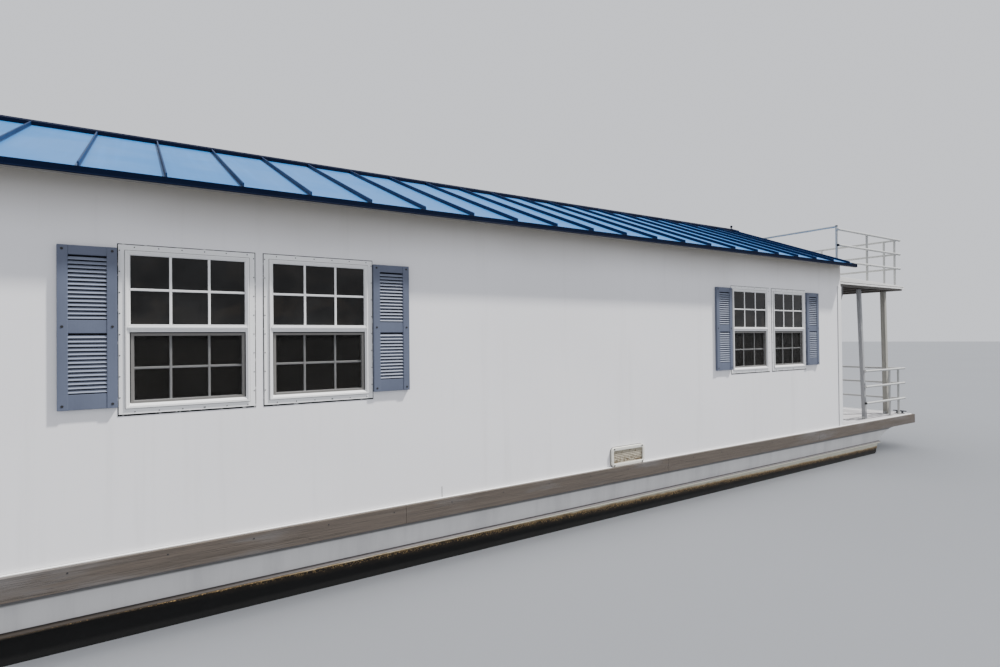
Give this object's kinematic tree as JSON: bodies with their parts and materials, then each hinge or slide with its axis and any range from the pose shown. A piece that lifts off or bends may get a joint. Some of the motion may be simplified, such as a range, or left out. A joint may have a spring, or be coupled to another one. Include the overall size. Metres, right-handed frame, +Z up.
{
  "type": "houseboat",
  "caption": "Flat-bottomed houseboat with a gable-roofed cabin, shuttered windows, railed fore, upper and aft decks and an outboard motor that tilts and steers.",
  "frame": {"origin": "middle of the hull's flat bottom", "axes": "+X towards the bow, +Y to port, +Z up"},
  "size_m": [17.015, 4.79, 4.9087],
  "materials": {
    "hull_paint": "pale grey paint, stained at the waterline",
    "deck_paint": "matt off-white non-slip paint",
    "weathered_timber": "bare silver-grey weathered planks",
    "galvanised": "dull galvanised",
    "gelcoat": "satin off-white gelcoat panel",
    "roofing": "satin blue standing-seam steel",
    "navy_trim": "satin dark navy folded steel",
    "white_vinyl": "white vinyl",
    "window_glass": "dark clear glass",
    "shutter_plastic": "slate blue moulded shutters",
    "door_frame": "white door frames with glass",
    "door_paint": "white paint",
    "vent_plastic": "off-white moulding",
    "upper_deck_paint": "off-white paint, grey underneath",
    "post_paint": "grey-beige stained timber",
    "rail_aluminium": "dull anodised tube",
    "bracket_paint": "dark grey paint",
    "cowl_plastic": "dark grey cowl and leg",
    "propeller_alloy": "dark cast aluminium"
  },
  "bodies": {
    "boat": {"cleat_bow_port": "galvanised", "cleat_bow_starboard": "galvanised", "cleat_stern_port": "galvanised", "cleat_stern_starboard": "galvanised", "eave_trim_port": "navy_trim", "eave_trim_starboard": "navy_trim", "front_door_fixed": "door_frame", "hull": "hull_paint", "hull_vent": "vent_plastic", "ladder": "rail_aluminium", "lower_rail": "rail_aluminium", "main_deck": "deck_paint", "outboard_bracket": "bracket_paint", "post_aft_port": "post_paint", "post_aft_starboard": "post_paint", "post_fore_port": "post_paint", "post_fore_starboard": "post_paint", "ridge_cap": "navy_trim", "roof_port": "roofing", "roof_starboard": "roofing", "rub_rail": "weathered_timber", "shutter_port_1": "shutter_plastic", "shutter_port_2": "shutter_plastic", "shutter_port_3": "shutter_plastic", "shutter_port_4": "shutter_plastic", "shutter_starboard_1": "shutter_plastic", "shutter_starboard_2": "shutter_plastic", "shutter_starboard_3": "shutter_plastic", "shutter_starboard_4": "shutter_plastic", "stern_rail_port": "rail_aluminium", "stern_rail_starboard": "rail_aluminium", "upper_deck": "upper_deck_paint", "upper_rail_front": "rail_aluminium", "upper_rail_port": "rail_aluminium", "upper_rail_starboard": "rail_aluminium", "wall_aft": "gelcoat", "wall_front": "gelcoat", "wall_port": "gelcoat", "wall_starboard": "gelcoat", "window_frame_port_1": "white_vinyl", "window_frame_port_2": "white_vinyl", "window_frame_port_3": "white_vinyl", "window_frame_port_4": "white_vinyl", "window_frame_starboard_1": "white_vinyl", "window_frame_starboard_2": "white_vinyl", "window_frame_starboard_3": "white_vinyl", "window_frame_starboard_4": "white_vinyl", "window_glass_port_1": "window_glass", "window_glass_port_2": "window_glass", "window_glass_port_3": "window_glass", "window_glass_port_4": "window_glass", "window_glass_starboard_1": "window_glass", "window_glass_starboard_2": "window_glass", "window_glass_starboard_3": "window_glass", "window_glass_starboard_4": "window_glass"},
    "front_slider": {"front_door_slider": "door_frame"},
    "aft_door_leaf": {"aft_door": "door_paint"},
    "motor_swivel": {"outboard_swivel": "bracket_paint"},
    "motor": {"outboard_motor": "cowl_plastic"},
    "screw": {"propeller": "propeller_alloy"}
  },
  "joints": [
    {"name": "front_slide", "type": "slide", "parent": "boat", "child": "front_slider", "axis": [0, 1, 0], "range_m": [0, 0.8]},
    {"name": "aft_door_swing", "type": "hinge", "parent": "boat", "child": "aft_door_leaf", "pos_m": [-6.85, 0.393, 2.02], "axis": [0, 0, -1], "range_deg": [0, 110]},
    {"name": "motor_tilt", "type": "hinge", "parent": "boat", "child": "motor_swivel", "pos_m": [-8.49, 0, 0.98], "axis": [0, 1, 0], "range_deg": [0, 62]},
    {"name": "motor_steer", "type": "hinge", "parent": "motor_swivel", "child": "motor", "pos_m": [-8.56, 0, 0.87], "axis": [0, 0, 1], "range_deg": [-35, 35]},
    {"name": "propeller_spin", "type": "hinge", "parent": "motor", "child": "screw", "pos_m": [-8.86, 0, 0.215], "axis": [1, 0, 0], "continuous": true}
  ]
}
